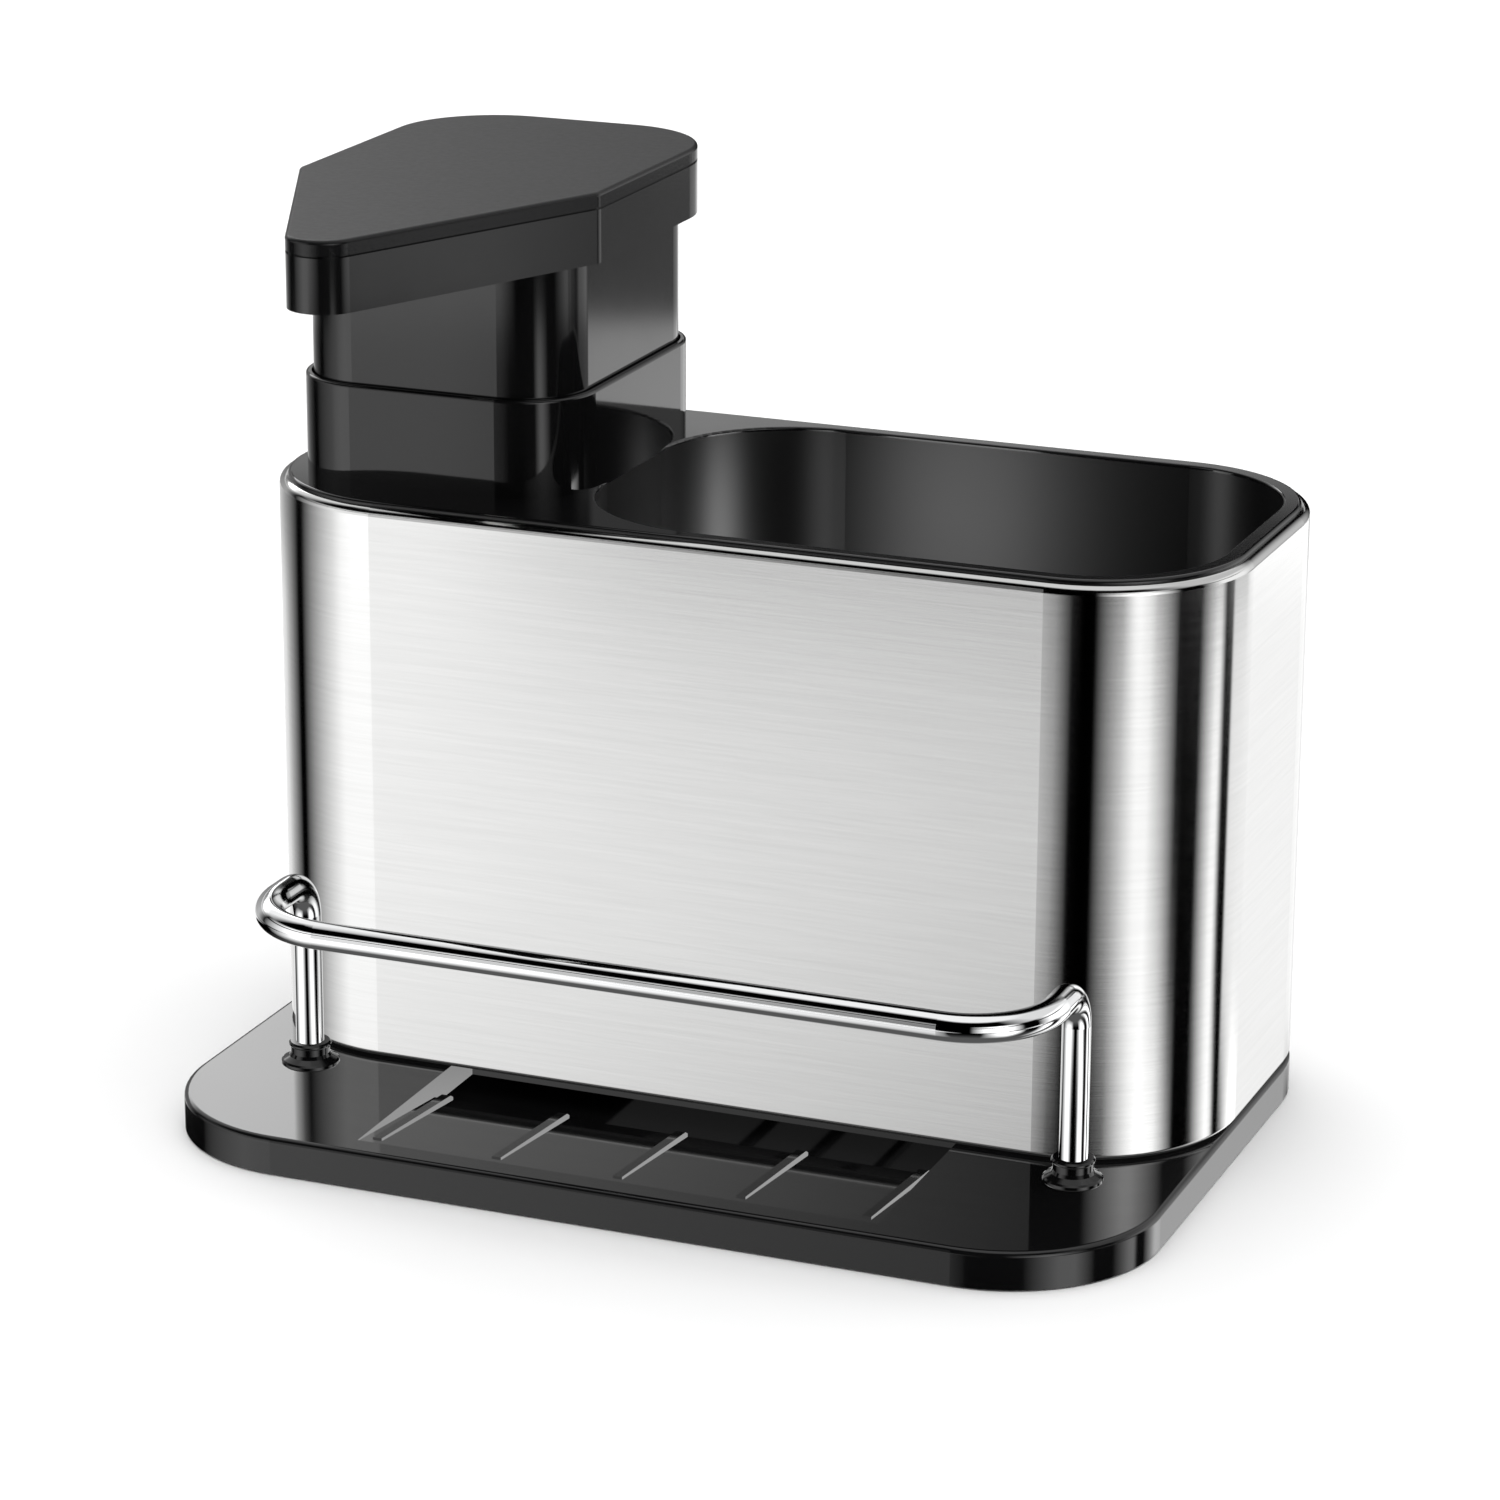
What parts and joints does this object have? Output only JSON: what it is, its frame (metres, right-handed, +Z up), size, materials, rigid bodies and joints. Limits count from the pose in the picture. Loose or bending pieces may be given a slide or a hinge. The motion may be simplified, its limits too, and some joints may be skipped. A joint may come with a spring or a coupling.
{
  "type": "soap pump caddy",
  "caption": "Kitchen caddy with a steel body, a press-down soap pump with a nosed cap, an open brush compartment, and a sloped ribbed sponge pocket behind a wire rail.",
  "frame": {"origin": "on the surface the caddy stands on, under the middle of its base", "axes": "+X to the right along the front, +Y to the back, +Z up"},
  "size_m": [0.18, 0.128, 0.163],
  "materials": {
    "gloss_black": "gloss",
    "satin_black": "satin",
    "black_plastic": "satin",
    "brushed_steel": "brushed",
    "chrome": "polished",
    "bright_steel": "bright",
    "black_rubber": "matte",
    "grey_rubber": "matte",
    "natural_plastic": "translucent satin",
    "white_plastic": "satin",
    "piston_plastic": "satin"
  },
  "bodies": {
    "caddy": {"base_tray": "gloss_black", "rubber_feet": "black_rubber", "base_screws": "bright_steel", "rail_ferrules": "gloss_black", "rail_push_nuts": "bright_steel", "sponge_rail": "chrome", "steel_shell": "brushed_steel", "shell_seal": "black_rubber", "top_liner": "gloss_black"},
    "dispenser": {"soap_bottle": "natural_plastic", "bottle_closure": "black_plastic", "closure_gasket": "grey_rubber", "pump_housing": "natural_plastic", "guide_bush": "white_plastic", "dip_tube": "natural_plastic", "return_spring": "bright_steel"},
    "pump_head": {"stem_plug": "white_plastic", "piston_cup": "piston_plastic", "pump_stem": "white_plastic", "pump_sleeve": "gloss_black", "cap_body": "gloss_black", "cap_plate": "satin_black", "spout_tube": "white_plastic", "spout_nozzle": "black_plastic"},
    "check_ball": {"inlet_ball": "bright_steel"}
  },
  "joints": [
    {"name": "dispenser_lift", "type": "slide", "parent": "caddy", "child": "dispenser", "axis": [0, 0, 1], "range_m": [0, 0.13]},
    {"name": "pump_press", "type": "slide", "parent": "dispenser", "child": "pump_head", "axis": [0, 0, -1], "range_m": [0, 0.016], "stiffness_N_per_m": 250, "springref_m": -0.02, "deforming": ["return_spring"]},
    {"name": "ball_lift", "type": "slide", "parent": "dispenser", "child": "check_ball", "axis": [0, 0, 1], "range_m": [0, 0.0025]}
  ]
}
